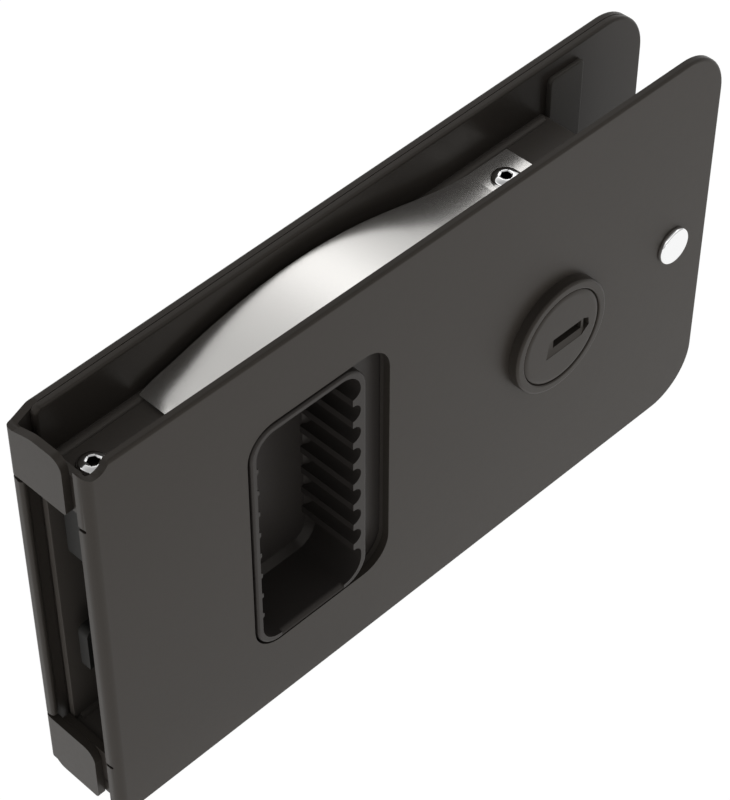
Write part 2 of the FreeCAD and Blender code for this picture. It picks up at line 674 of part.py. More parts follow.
def lock_nut():
    y0 = CASE_FRONT_Y + CASE_FRONT_T + FIT_GAP
    nut = prism(hex_points(LOCK_X, LOCK_Z, NUT_AF, 30.0), "xz", y0, y0 + 2.4)
    return one(nut.cut(rod("y", LOCK_X, LOCK_Z, 0, FAR, SLEEVE_R + FIT_GAP)))


def lock_body():
    body = rod("y", LOCK_X, LOCK_Z, 2.0, BARREL_Y1, CORE_R + RUN_GAP - FIT_GAP)
    body = bevel(body, 0.5, on_y(BARREL_Y1))
    return one(body.cut(rod("y", LOCK_X, LOCK_Z, 0, FAR, PLUG_R + RUN_GAP)))


PLUG_FACE_Y = -2.2


def key_slot():
    x0 = LOCK_X - 4.2
    x1 = LOCK_X + 5.8
    low = LOCK_Z - 3.7
    top = LOCK_Z + 0.6
    ramp = prism([(-5, low), (PLUG_FACE_Y, low), (0.2, top - 1.5), (0.2, top), (-5, top)],
                 "yz", x0, x1)
    pocket = prism(rect(x1 - 0.6, low + 0.1, LOCK_X + 8.0, top - 0.1, 0.9), "xz", -5, 0.2)
    way = box(LOCK_X - 3.0, -1, top - 1.5, LOCK_X + 5.2, 8.5, top)
    return ramp.fuse([pocket, way])


def key_plug():
    disc = rod("y", LOCK_X, LOCK_Z, PLUG_FACE_Y, 1.9, CORE_R)
    disc = soften(disc, 0.9, on_y(PLUG_FACE_Y))
    plug = disc.fuse(rod("y", LOCK_X, LOCK_Z, 1.5, BARREL_Y1 + 0.1, PLUG_R))
    h = TAIL_HALF
    tail = box(LOCK_X - h, BARREL_Y1 - 1, LOCK_Z - h, LOCK_X + h, CAM_Y0 + CAM_T + 2.0, LOCK_Z + h)
    plug = plug.fuse(tail)
    return one(plug.cut(key_slot()))


def key_cam():
    y0 = CAM_Y0
    y1 = CAM_Y0 + CAM_T
    hub = rod("y", 0, 0, y0, y1, 5.2)
    lever = [(-3.0, 0, 0), (3.0, 0, 0), (2.6, CAM_REACH, 1.0), (-3.0, CAM_REACH, 0.6)]
    arm = prism(lever, "xz", y0, y1)
    tooth = [(-5.8, 11.95, 0.3), (-2.5, 11.95, 0), (-2.5, 13.5, 0), (-5.8, 13.5, 0.3)]
    cam = hub.fuse([arm, prism(tooth, "xz", y0, y1)])
    cam.translate(V(LOCK_X, 0, LOCK_Z))
    g = TAIL_HALF + FIT_GAP
    hole = box(LOCK_X - g, y0 - 1, LOCK_Z - g, LOCK_X + g, y1 + 1, LOCK_Z + g)
    return one(cam.cut(hole))


def rear_rosette():
    y0 = BODY_DEPTH + 0.01
    disc = rod("y", LOCK_X, LOCK_Z, y0, y0 + 1.8, 10.5)
    disc = swing(bevel(disc, 0.8, on_y(y0 + 1.8)))
    return one(disc.cut(rod("y", LOCK_X, LOCK_Z, 0, FAR, 4.0 + RUN_GAP)))


TURN_Y = rear_y(LOCK_X, BODY_DEPTH) + 2.1


def thumb_turn():
    y0 = CAM_Y0 + CAM_T + 0.05
    shaft = rod("y", LOCK_X, LOCK_Z, y0, TURN_Y + 0.5, 4.0)
    disc = rod("y", LOCK_X, LOCK_Z, TURN_Y, TURN_Y + 2.0, 8.2)
    disc = bevel(disc, 0.6, on_y(TURN_Y + 2.0))
    grip = prism(rect(LOCK_X - 2.2, LOCK_Z - 8.0, LOCK_X + 2.2, LOCK_Z + 8.0, 2.0),
                 "xz", TURN_Y + 1.0, TURN_Y + 8.0)
    grip = bevel(grip, 0.7, on_y(TURN_Y + 8.0))
    turn = shaft.fuse([disc, grip])
    g = TAIL_HALF + FIT_GAP
    hole = box(LOCK_X - g, 0, LOCK_Z - g, LOCK_X + g, CAM_Y0 + CAM_T + 2.1, LOCK_Z + g)
    return one(turn.cut(hole))


def clamp_bolt():
    head = rod("y", STUD_X, STUD_Z, -STUD_HEAD_T, -0.01, STUD_HEAD_R)
    head = bevel(head, 0.35, on_y(-STUD_HEAD_T))
    bolt = head.fuse(rod("y", STUD_X, STUD_Z, -0.5, BODY_DEPTH - 5.0, STUD_BARREL_R))
    return one(bolt.cut(rod("y", STUD_X, STUD_Z, BODY_DEPTH / 4, FAR, STUD_THREAD_R + FIT_GAP)))


def clamp_screw():
    y0 = rear_y(STUD_X + STUD_HEAD_R, BODY_DEPTH) + 0.02
    head = rod("y", STUD_X, STUD_Z, y0, y0 + 2.2, STUD_HEAD_R)
    head = bevel(head, 0.4, on_y(y0 + 2.2))
    screw = head.fuse(rod("y", STUD_X, STUD_Z, BODY_DEPTH / 4 + 2.5, y0 + 1, STUD_THREAD_R))
    socket = prism(hex_points(STUD_X, STUD_Z, 3.0), "xz", y0 + 0.6, y0 + 5)
    return one(screw.cut(socket))


def button_screw(x, y, base, depth, r):
    head = rod("z", x, y, base, base + 0.4, HEAD_R)
    low = base + 0.4
    for high, r0, r1 in ((base + 1.2, HEAD_R, HEAD_R - 0.5), (base + HEAD_H, HEAD_R - 0.5, HEX_AF * 0.72)):
        head = head.fuse(Part.makeCone(r0, r1, high - low, V(x, y, low), V(0, 0, 1)))
        low = high
    screw = head.fuse(rod("z", x, y, base - depth, base + 0.3, r))
    top = base + HEAD_H
    socket = prism(hex_points(x, y, HEX_AF), "xy", top - HEX_DEPTH, top + 1)
    return one(screw.cut(socket))


def cover_screw(x, z):
    y1 = rear_y(x, COVER_Y1) - 0.06
    head = rod("y", x, z, y1 - 0.6, y1, 2.35)
    screw = head.fuse(rod("y", x, z, y1 - 6.0, y1 - 0.2, 1.18))
    slot = box(x - 3, y1 - 0.3, z - 0.3, x + 3, y1 + 1, z + 0.3)
    return one(screw.cut(slot))


def leaf_spring():
    top = [V(x, 0, CASE_Z1 + 0.02 + h) for x, h in LEAF_LINE]
    curve = Part.BSplineCurve()
    curve.interpolate(Points=top)
    end = top[-1]
    count = 26
    samples = [curve.value(curve.FirstParameter + (curve.LastParameter
               - curve.FirstParameter) * k / count) for k in range(count + 1)]
    upper = []
    lower = []
    for k in range(count + 1):
        a = samples[max(0, k - 1)]
        b = samples[min(count, k + 1)]
        d = b.sub(a)
        d.normalize()
        upper.append(samples[k])
        lower.append(samples[k].add(V(d.z * LEAF_T, 0, -d.x * LEAF_T)))
    far = V(LEAF_X1, 0, end.z)
    low_far = V(LEAF_X1, 0, end.z - LEAF_T)
    lower[-1] = V(end.x, 0, end.z - LEAF_T)
    up = Part.BSplineCurve()
    up.interpolate(Points=upper)
    dn = Part.BSplineCurve()
    dn.interpolate(Points=lower)
    edges = [up.toShape(), Part.makeLine(upper[-1], far), Part.makeLine(far, low_far),
             Part.makeLine(low_far, lower[-1]), dn.toShape(),
             Part.makeLine(lower[0], upper[0])]
    face = Part.Face(Part.Wire(Part.__sortEdges__(edges)))
    face.translate(V(0, LEAF_Y0, 0))
    leaf = face.extrude(V(0, LEAF_Y1 - LEAF_Y0, 0))
    floor = CASE_Z1 - RECESS - LEAF_SEAT_T + 0.02
    seat = rod("z", LEAF_SCREW_X, LEAF_SCREW_Y, floor, CASE_Z1 + LEAF_T, LEAF_SEAT_R)
    leaf = leaf.fuse(seat)
    leaf = leaf.cut(rod("z", LEAF_SCREW_X, LEAF_SCREW_Y, floor + LEAF_SEAT_T, FAR + CASE_Z1,
                        LEAF_HOLE_R))
    leaf = leaf.cut(rod("z", LEAF_SCREW_X, LEAF_SCREW_Y, floor - 1, CASE_Z1, 1.6))
    return one(leaf)


def pieces():
    out = {}
    out["front_plate"] = front_plate()
    out["rear_plate"] = rear_plate()
    out["rear_liner"] = rear_liner()
    out["grip_strip"] = grip_strip()
    out["case_shell"] = case_shell()
    out["case_cover"] = case_cover()
    out["upper_guide_block"] = upper_block()
    out["lower_guide_block"] = lower_block()
    out["claw_pin"] = claw_pin()
    out["latch_claw"] = latch_claw()
    out["pull_cup"] = pull_cup()
    out["slide_plate"] = slide_plate()
    out["draw_link"] = draw_link()
    out["slide_rivet_lower"] = foot_rivet(FOOT_RIVETS[0])
    out["slide_rivet_upper"] = foot_rivet(FOOT_RIVETS[1])
    out["link_rivet_left"] = link_rivet(LINK_RIVETS[0])
    out["link_rivet_right"] = link_rivet(LINK_RIVETS[1])
    out["spring_stop"] = spring_stop()
    out["return_spring"] = return_spring()
    out["lock_collar"] = lock_collar()
    out["lock_nut"] = lock_nut()
    out["lock_body"] = lock_body()
    out["key_plug"] = key_plug()
    out["key_cam"] = key_cam()
    out["thumb_turn"] = thumb_turn()
    out["rear_rosette"] = rear_rosette()
    out["clamp_bolt"] = clamp_bolt()
    out["clamp_screw"] = clamp_screw()
    out["case_screw"] = button_screw(SCREW_X, SCREW_Y, CASE_Z1 - RECESS + 0.02, 10.0, 1.5)
    out["leaf_spring"] = leaf_spring()
    out["leaf_screw"] = button_screw(LEAF_SCREW_X, LEAF_SCREW_Y, CASE_Z1 - RECESS + 0.04, 5.5, 1.5)
    for k, (x, z) in enumerate(BLOCK_RIVETS):
        out["block_rivet_%d" % (k + 1)] = flush_rivet(x, z, 5.5)
    for k, (x, z) in enumerate(STOP_RIVETS):
        out["stop_rivet_%d" % (k + 1)] = flush_rivet(x, z, 2.5)
    for k, (x, z) in enumerate(COVER_SCREWS):
        out["cover_screw_%d" % (k + 1)] = cover_screw(x, z)
    return out


built = pieces()
bounds = FreeCAD.BoundBox()
for shape in built.values():
    bounds.add(shape.optimalBoundingBox(False, False))
shift = V(-(bounds.XMin + bounds.XMax) / 2.0, -(bounds.YMin + bounds.YMax) / 2.0, -bounds.ZMin)
for name in sorted(built):
    solid = built[name].copy()
    solid.translate(shift)
    solid.exportStep("parts/%s.step" % name)
print("shift", shift.x, shift.y, shift.z)
print("size", bounds.XLength, bounds.YLength, bounds.ZLength)
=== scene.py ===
import json
import math

import bmesh
import bpy
from mathutils import Matrix, Vector


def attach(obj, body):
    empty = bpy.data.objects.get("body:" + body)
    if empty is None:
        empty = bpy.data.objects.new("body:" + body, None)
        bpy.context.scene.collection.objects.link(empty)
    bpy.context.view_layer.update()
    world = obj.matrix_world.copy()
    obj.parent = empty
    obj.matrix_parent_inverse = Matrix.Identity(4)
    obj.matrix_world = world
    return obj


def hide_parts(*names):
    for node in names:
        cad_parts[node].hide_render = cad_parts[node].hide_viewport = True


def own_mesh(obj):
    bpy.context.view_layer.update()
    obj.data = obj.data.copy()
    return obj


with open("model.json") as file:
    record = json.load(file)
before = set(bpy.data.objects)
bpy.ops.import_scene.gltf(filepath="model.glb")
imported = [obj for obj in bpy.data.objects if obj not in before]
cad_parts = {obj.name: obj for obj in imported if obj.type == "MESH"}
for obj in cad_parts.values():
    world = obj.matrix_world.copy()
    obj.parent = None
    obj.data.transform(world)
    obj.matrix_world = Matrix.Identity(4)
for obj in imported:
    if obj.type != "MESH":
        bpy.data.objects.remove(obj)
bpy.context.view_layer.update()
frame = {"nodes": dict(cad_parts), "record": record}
nodes = frame["nodes"]

MM = 0.001
VERT, EDGE, FACE = bmesh.types.BMVert, bmesh.types.BMEdge, bmesh.types.BMFace
WHITE = (1.0, 1.0, 1.0, 1.0)
# The drawing's zero point in the row frame, in mm: latching end, outside face, lower edge
ORIGIN = Vector((-80.0, -14.8468, 0.0))


def place(x, y, z):
    """A point of the drawing, in mm, as metres in the row frame."""
    return (Vector((x, y, z)) + ORIGIN) * MM


# Camera, fitted to the plates' corners and holes
camera_data = bpy.data.cameras.new("camera")
camera = bpy.data.objects.new("camera", camera_data)
bpy.context.scene.collection.objects.link(camera)
camera.location = place(-164.9, -227.06, 389.18)
camera.rotation_euler = (math.radians(44.664), 0.0, math.radians(-45.095))
camera_data.sensor_fit = "VERTICAL"
camera_data.sensor_height = 36.0
camera_data.lens = 116.16
camera_data.clip_start = 0.01
camera_data.clip_end = 20.0
bpy.context.scene.camera = camera
bpy.context.scene.view_settings.view_transform = "Standard"


def linear(hex_colour):
    """An sRGB hex colour as linear red, green, blue, alpha."""
    out = []
    for k in (0, 2, 4):
        c = int(hex_colour[k:k + 2], 16) / 255.0
        out.append(c / 12.92 if c <= 0.04045 else ((c + 0.055) / 1.055) ** 2.4)
    return (*out, 1.0)


def add(tree, kind, settings=None, **links):
    """Adds a node, sets its attributes, and links or sets its inputs by name or by number."""
    made = tree.nodes.new(kind)
    for name, value in (settings or {}).items():
        setattr(made, name, value)
    for name, value in links.items():
        numbered = name[0] == "i" and name[1:].isdigit()
        socket = made.inputs[int(name[1:]) if numbered else name.replace("_", " ")]
        if isinstance(value, bpy.types.NodeSocket):
            tree.links.new(value, socket)
        else:
            socket.default_value = value
    return made


def new_material(name):
    material = bpy.data.materials.new(name)
    material.use_nodes = True
    material.node_tree.nodes.clear()
    return material, material.node_tree


def shade(tree, surface, kind="ShaderNodeOutputMaterial"):
    """Links a shader to the tree's output."""
    tree.links.new(surface, add(tree, kind).inputs["Surface"])


# Share of full gloss in a satin skin, and the warm tint of that gloss
GLOSS = 0.17
GLOSS_TINT = (1.0, 0.94, 0.88, 1.0)
# Fine grain of a satin skin and depth of a skin's relief, in mm
GRAIN = 0.35
RELIEF = 0.02


def satin_skin(name, base, rough, peel=1.1, specks=0.06):
    """Powder coat or moulded plastic: faint orange peel, peel mm wide, and a fine speckle."""
    material, tree = new_material(name)
    where = add(tree, "ShaderNodeTexCoord").outputs["Object"]
    waves = add(tree, "ShaderNodeTexNoise", Vector=where, Scale=1.0 / (peel * MM), Detail=2.0)
    grain = add(tree, "ShaderNodeTexNoise", Vector=where, Scale=1.0 / (GRAIN * MM), Detail=1.0)
    tone = add(tree, "ShaderNodeMix", {"data_type": "RGBA"}, i0=grain.outputs["Fac"])
    light = linear(base)[:3]
    tone.inputs[6].default_value = (*(c * (1.0 - specks) for c in light), 1.0)
    tone.inputs[7].default_value = (*(c * (1.0 + specks) for c in light), 1.0)
    rough_by = add(tree, "ShaderNodeMapRange", i0=waves.outputs["Fac"],
                   i3=rough - 0.03, i4=rough + 0.03)
    bump = add(tree, "ShaderNodeBump", Height=waves.outputs["Fac"],
               Strength=0.05, Distance=RELIEF * MM)
    skin = add(tree, "ShaderNodeBsdfPrincipled", Base_Color=tone.outputs[2],
               Roughness=rough_by.outputs[0], Specular_IOR_Level=GLOSS,
               Specular_Tint=GLOSS_TINT, Normal=bump.outputs[0])
    shade(tree, skin.outputs[0])
    return material


def bare_metal(name, base, rough, grain=0.8, strength=0.1):
    """Bare metal with an even grain, grain mm wide."""
    material, tree = new_material(name)
    where = add(tree, "ShaderNodeTexCoord").outputs["Object"]
    noise = add(tree, "ShaderNodeTexNoise", Vector=where, Scale=1.0 / (grain * MM), Detail=3.0)
    rough_by = add(tree, "ShaderNodeMapRange", i0=noise.outputs["Fac"],
                   i3=rough - 0.05, i4=rough + 0.07)
    bump = add(tree, "ShaderNodeBump", Height=noise.outputs["Fac"],
               Strength=strength, Distance=RELIEF * MM)
    skin = add(tree, "ShaderNodeBsdfPrincipled", Base_Color=linear(base), Metallic=1.0,
               Roughness=rough_by.outputs[0], Normal=bump.outputs[0])
    shade(tree, skin.outputs[0])
    return material


# Powder coat on the plates and the lock: dark bronze grey, satin
COAT = satin_skin("powder_coated_steel", "37332f", 0.38)
# The same coat on the case, set lighter to make up for the little light between the plates
CASE_COAT = satin_skin("powder_coated_case", "4c4844", 0.38)
# Moulded ABS of the finger cup: the plates' shade, a little duller
CUP_ABS = satin_skin("moulded_abs", "33302e", 0.4, 0.8, 0.08)
# Moulded nylon of the guide blocks: near black, dull
BLOCK_NYLON = satin_skin("moulded_nylon", "20201f", 0.5, 0.7, 0.08)
# Moulded rubber strip: lighter and duller than the coat
RUBBER = satin_skin("moulded_rubber", "45423e", 0.5, 0.6, 0.1)
# Blasted stainless leaf: bright, with a fine even grain
STAINLESS = bare_metal("blasted_stainless", "e2e0dd", 0.2, 0.35, 0.3)
# Polished chrome screws and stud
CHROME = bare_metal("polished_chrome", "f4f4f4", 0.06)
# Painted shade inside the screws' hex sockets: a dull dark steel colour stands in for the shade
# in the deep hex
PAINTED_SOCKET_SHADE = bare_metal("socket_painted_shade", "262524", 0.45)
# Zinc-plated steel of the hidden drive
ZINC = bare_metal("zinc_plated_steel", "a8a8a4", 0.35)
# Turned brass barrel
BRASS = bare_metal("turned_brass", "b8965a", 0.3)

FINISH = {
    "plate_coat": COAT, "case_coat": CASE_COAT, "cup_plastic": CUP_ABS,
    "block_plastic": BLOCK_NYLON, "strip_rubber": RUBBER, "lock_ring_coat": COAT,
    "plug_coat": COAT, "lock_brass": BRASS, "mechanism_steel": ZINC, "spring_steel": ZINC,
    "leaf_stainless": STAINLESS, "bright_chrome": CHROME,
}
SLOT_OF = {part["node"]: part["material_slot"] for part in frame["record"]["subparts"]}
for node, slot in SLOT_OF.items():
    finishes = nodes[node].data.materials
    finishes.clear()
    finishes.append(FINISH[slot])

BEHAVIOUR = frame["record"]["behaviour"]
BODY_OF = {node: body for body, held in BEHAVIOUR["bodies"].items() for node in held}


def only(kind, geom):
    """The vertices, edges or faces in an operator's result."""
    return [part for part in geom if isinstance(part, kind)]


def edges_at(verts):
    """The edges at these vertices, each once."""
    return list(dict.fromkeys(e for v in verts for e in v.link_edges))


def outline(shape, corners):
    """Draws a closed outline and returns its vertices and edges."""
    verts = [shape.verts.new(corner) for corner in corners]
    return verts, [shape.edges.new(pair) for pair in zip(verts, verts[1:] + verts[:1])]


def by_place(vert):
    return [round(c, 8) for c in vert.co]


def by_corners(part):
    return sorted(v.index for v in part.verts)


def in_order(shape):
    """Sorts the vertices, edges and faces by place, so that each run gives the same mesh."""
    for parts, key in ((shape.verts, by_place), (shape.edges, by_corners),
                       (shape.faces, by_corners)):
        rank = {part: k for k, part in enumerate(sorted(parts, key=key))}
        parts.sort(key=rank.get)
        parts.index_update()


def stand_for(shape, name, node, sharp_from=35.0):
    """Makes a finished piece of a bmesh: it rides where its CAD node rides and hides it."""
    in_order(shape)
    mesh = bpy.data.meshes.new(name)
    shape.to_mesh(mesh)
    shape.free()
    mesh.shade_smooth()
    mesh.set_sharp_from_angle(angle=math.radians(sharp_from))
    mesh.materials.append(FINISH[SLOT_OF[node]])
    piece = bpy.data.objects.new(name, mesh)
    bpy.context.scene.collection.objects.link(piece)
    flat = piece.modifiers.new("flat_faces", "WEIGHTED_NORMAL")
    flat.keep_sharp = True
    flat.weight = 100
    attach(piece, BODY_OF[node])
    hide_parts(node)
    return piece


# The front plate's lower tab runs on down to the corner: outline in x and y, lower end, height
FOOT_OUTLINE = ((0.3, 2.8), (1.65, 4.6), (1.65, 9.0), (3.25, 9.0), (3.25, 4.6), (1.9, 2.8))
FOOT_LOW = 1.3
FOOT_TALL = 3.6


def tab_foot(shape):
    corners = [place(x, y, FOOT_LOW) for x, y in FOOT_OUTLINE]
    base = bmesh.ops.contextual_create(shape, geom=outline(shape, corners)[1])["faces"]
    raised = bmesh.ops.extrude_face_region(shape, geom=base, use_keep_orig=True)["geom"]
    bmesh.ops.translate(shape, verts=only(VERT, raised), vec=(0.0, 0.0, FOOT_TALL * MM))
    bmesh.ops.recalc_face_normals(shape, faces=shape.faces)


# The rear plate's end turns in a little between its two tabs: middle, size, radius, in mm
LIP_MIDDLE = place(0.8, 17.9, 45.5)
LIP_SIZE = (1.6, 1.0, 62.4)
LIP_ROUND = 0.75


def end_lip(shape):
    made = bmesh.ops.create_cube(shape, size=MM)["verts"]
    bmesh.ops.scale(shape, verts=made, vec=LIP_SIZE)
    bmesh.ops.translate(shape, verts=made, vec=LIP_MIDDLE)
    upright = [e for e in edges_at(made) if e.verts[0].co.y < LIP_MIDDLE.y
               and abs(e.verts[0].co.z - e.verts[1].co.z) > 10.0 * MM]
    bmesh.ops.bevel(shape, geom=upright, offset=LIP_ROUND * MM, offset_type="OFFSET", segments=6,
                    profile=0.5, affect="EDGES", clamp_overlap=True, material=-1)


# Edge rounding in mm, as the coat or the mould leaves it, and what a piece gets beside it
EDGE_ROUND = {
    "rear_plate": 0.45, "front_plate": 0.25, "case_shell": 0.3, "case_cover": 0.2,
    "upper_guide_block": 0.35, "lower_guide_block": 0.35, "grip_strip": 0.2, "pull_cup": 0.2,
    "latch_claw": 0.2, "clamp_bolt": 0.2, "thumb_turn": 0.3, "rear_rosette": 0.2,
    "rear_liner": 0.3,
}
ADDED = {"rear_plate": end_lip, "front_plate": tab_foot}
# Vertices closer than this are one, faces flatter than this are one, and what counts as sharp
MERGE = 1e-6
FLAT_WITHIN = math.radians(0.5)
SHARP_FROM = math.radians(30.0)


def edges_broken(node, width):
    """A copy of a CAD solid with its sharp edges rounded over by width mm."""
    shape = bmesh.new()
    shape.from_mesh(nodes[node].data)
    bmesh.ops.remove_doubles(shape, verts=shape.verts, dist=MERGE)
    bmesh.ops.dissolve_limit(shape, angle_limit=FLAT_WITHIN, verts=shape.verts, edges=shape.edges)
    sharp = [e for e in shape.edges
             if len(e.link_faces) == 2 and e.calc_face_angle(0.0) > SHARP_FROM]
    bmesh.ops.bevel(shape, geom=sharp, offset=width * MM, offset_type="OFFSET", segments=2,
                    profile=0.5, affect="EDGES", clamp_overlap=True, material=-1)
    if node in ADDED:
        ADDED[node](shape)
    stand_for(shape, node + "_finished", node)


for node, width in EDGE_ROUND.items():
    edges_broken(node, width)


def wound_spring():
    """The return spring, smoothed and on a mesh of its own. In the lock its left end goes with
    the cup, so it shortens by the pull's whole travel.
    """
    shape = bmesh.new()
    shape.from_mesh(nodes["return_spring"].data)
    bmesh.ops.remove_doubles(shape, verts=shape.verts, dist=MERGE)
    spring = stand_for(shape, "wound_spring", "return_spring", 50.0)
    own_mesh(spring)


wound_spring()

# The lock's axis in x and z
LOCK_X = 114.2
LOCK_Z = 45.6
TURN_STEPS = 96
# The lock's ring: (radius, distance out from the plate) in mm, and {corner: its rounding}
RING = ((10.71, -5.4), (11.6, -5.4), (11.6, 0.01), (12.7, 0.01), (12.7, 2.3), (10.71, 2.3))
RING_ROUND = {4: 0.6, 5: 0.35, 0: 0.2}


def lock_ring():
    centre = place(LOCK_X, 0.0, LOCK_Z)
    axis = Vector((0.0, -1.0, 0.0))
    side = Vector((0.0, 0.0, 1.0))
    shape = bmesh.new()
    ring = outline(shape, [centre + (axis * out + side * radius) * MM for radius, out in RING])[0]
    for corner, radius in RING_ROUND.items():
        bmesh.ops.bevel(shape, geom=[ring[corner]], offset=radius * MM, offset_type="OFFSET",
                        segments=5, profile=0.5, affect="VERTICES", material=-1)
    bmesh.ops.spin(shape, geom=shape.verts[:] + shape.edges[:], cent=centre, axis=axis,
                   angle=2.0 * math.pi, steps=TURN_STEPS, use_merge=True)
    bmesh.ops.remove_doubles(shape, verts=shape.verts, dist=1e-7)
    bmesh.ops.recalc_face_normals(shape, faces=shape.faces)
    stand_for(shape, "lock_collar_ring", "lock_collar")


lock_ring()


def drawn_out(shape, loop, rings):
    """Draws a round loop about z out through (radius, height) rings in mm and closes the last."""
    for (r0, z0), (r1, z1) in zip(rings, rings[1:]):
        grown = bmesh.ops.extrude_edge_only(shape, edges=loop)["geom"]
        verts = only(VERT, grown)
        loop = only(EDGE, grown)
        bmesh.ops.scale(shape, verts=verts, vec=(r1 / r0, r1 / r0, 1.0))
        bmesh.ops.translate(shape, verts=verts, vec=(0.0, 0.0, (z1 - z0) * MM))
    bmesh.ops.contextual_create(shape, geom=loop)
    bmesh.ops.recalc_face_normals(shape, faces=shape.faces)


# The turning core in mm. Its face: outline of the sunk field (x, z), ramp and what is cut deeper
FIELD = ((-4.4, -3.1), (5.7, -3.1), (7.8, -1.5), (7.5, 0.4), (6.1, 1.1), (-3.7, 1.1))
RAMP_FROM = -3.0
RAMP_RUN = 1.4
RAMP_SHALLOW = 0.05
RAMP_DROP = 0.5
KEYWAY_LEFT = -2.0
KEYWAY_RIGHT = 6.0
KEYWAY_LOW = -1.7
KEYWAY_DEEP = 6.0
POCKET_LEFT = 6.7
POCKET_DEEP = 1.6
# Its body: how far the face stands out, radii, shoulder, barrel and square tail
FACE_OUT = 2.3
FACE_R = 9.4
SHOULDER_WIDE = 1.25
SHOULDER_DROP = 0.55
BARREL = ((10.65, -4.1), (6.4, -4.1), (6.4, -14.3))
TAIL_WIDE = 4.0
TAIL_LONG = 5.3
TAIL_INSIDE = 1.0


def key_core():
    """The turning core: a ramp guides the key into the keyway, with a stop pocket beside it."""
    shape = bmesh.new()
    rim = outline(shape, [(x * MM, z * MM, 0.0) for x, z in FIELD])[1]
    down = bmesh.ops.extrude_edge_only(shape, edges=rim)["geom"]
    field = bmesh.ops.contextual_create(shape, geom=only(EDGE, down))["faces"]
    for spot, across in (((0.0, KEYWAY_LOW), (0.0, 1.0, 0.0)),
                         ((KEYWAY_LEFT, 0.0), (1.0, 0.0, 0.0)),
                         ((KEYWAY_RIGHT, 0.0), (1.0, 0.0, 0.0)),
                         ((POCKET_LEFT, 0.0), (1.0, 0.0, 0.0))):
        held = field + list(dict.fromkeys(e for f in field for e in f.edges))
        held += list(dict.fromkeys(v for f in field for v in f.verts))
        cut = bmesh.ops.bisect_plane(shape, geom=held, dist=1e-7, plane_no=across,
                                     plane_co=(spot[0] * MM, spot[1] * MM, 0.0))
        field = only(FACE, cut["geom"])
    for v in {v for f in field for v in f.verts}:
        along = min(1.0, max(0.0, (v.co.y / MM - RAMP_FROM) / RAMP_RUN))
        v.co.z = -(RAMP_SHALLOW + RAMP_DROP * along) * MM

    def in_keyway(middle):
        return KEYWAY_LEFT < middle.x / MM < KEYWAY_RIGHT and middle.y / MM > KEYWAY_LOW

    def in_pocket(middle):
        return middle.x / MM > POCKET_LEFT

    for inside, deep in ((in_keyway, KEYWAY_DEEP), (in_pocket, POCKET_DEEP)):
        picked = [f for f in field if inside(f.calc_center_median())]
        field = [f for f in field if f not in picked]
        sunk = bmesh.ops.extrude_face_region(shape, geom=picked)["geom"]
        bmesh.ops.translate(shape, verts=only(VERT, sunk), vec=(0.0, 0.0, -deep * MM))
        bmesh.ops.delete(shape, geom=[f for f in picked if f.is_valid], context="FACES")

    shoulder = [(FACE_R, 0.0)]
    for turn in range(15, 91, 15):
        angle = math.radians(turn)
        shoulder.append((FACE_R + SHOULDER_WIDE * math.sin(angle),
                         -SHOULDER_DROP * (1.0 - math.cos(angle))))
    face = bmesh.ops.create_circle(shape, cap_ends=False, segments=TURN_STEPS,
                                   radius=FACE_R * MM)["verts"]
    loop = edges_at(face)
    bmesh.ops.triangle_fill(shape, use_beauty=True, use_dissolve=False, edges=rim + loop)
    drawn_out(shape, loop, [*shoulder, *BARREL])
    bmesh.ops.rotate(shape, verts=shape.verts, cent=(0.0, 0.0, 0.0),
                     matrix=Matrix.Rotation(math.radians(90.0), 3, "X"))
    bmesh.ops.translate(shape, verts=shape.verts, vec=place(LOCK_X, -FACE_OUT, LOCK_Z))

    tail = bmesh.ops.create_cube(shape, size=MM)["verts"]
    tail_middle = -BARREL[-1][1] - FACE_OUT - TAIL_INSIDE + TAIL_LONG / 2.0
    bmesh.ops.scale(shape, verts=tail, vec=(TAIL_WIDE, TAIL_LONG, TAIL_WIDE))
    bmesh.ops.translate(shape, verts=tail, vec=place(LOCK_X, tail_middle, LOCK_Z))
    stand_for(shape, "key_core", "key_plug")


key_core()

# A button screw in mm: head from the socket outwards (radius, height), shank, hex socket
HEAD = ((1.3, 1.65), (1.65, 1.61), (2.05, 1.53), (2.4, 1.42), (2.63, 1.3), (2.77, 1.15),
        (2.84, 0.95))
HEAD_FOOT = ((2.84, 0.1), (2.74, 0.0))
SHANK_R = 1.5
SHANK_TIP = 0.3
HEX_CORNER = 1.155
HEX_TOP = 1.55
HEX_DEEP = 1.3


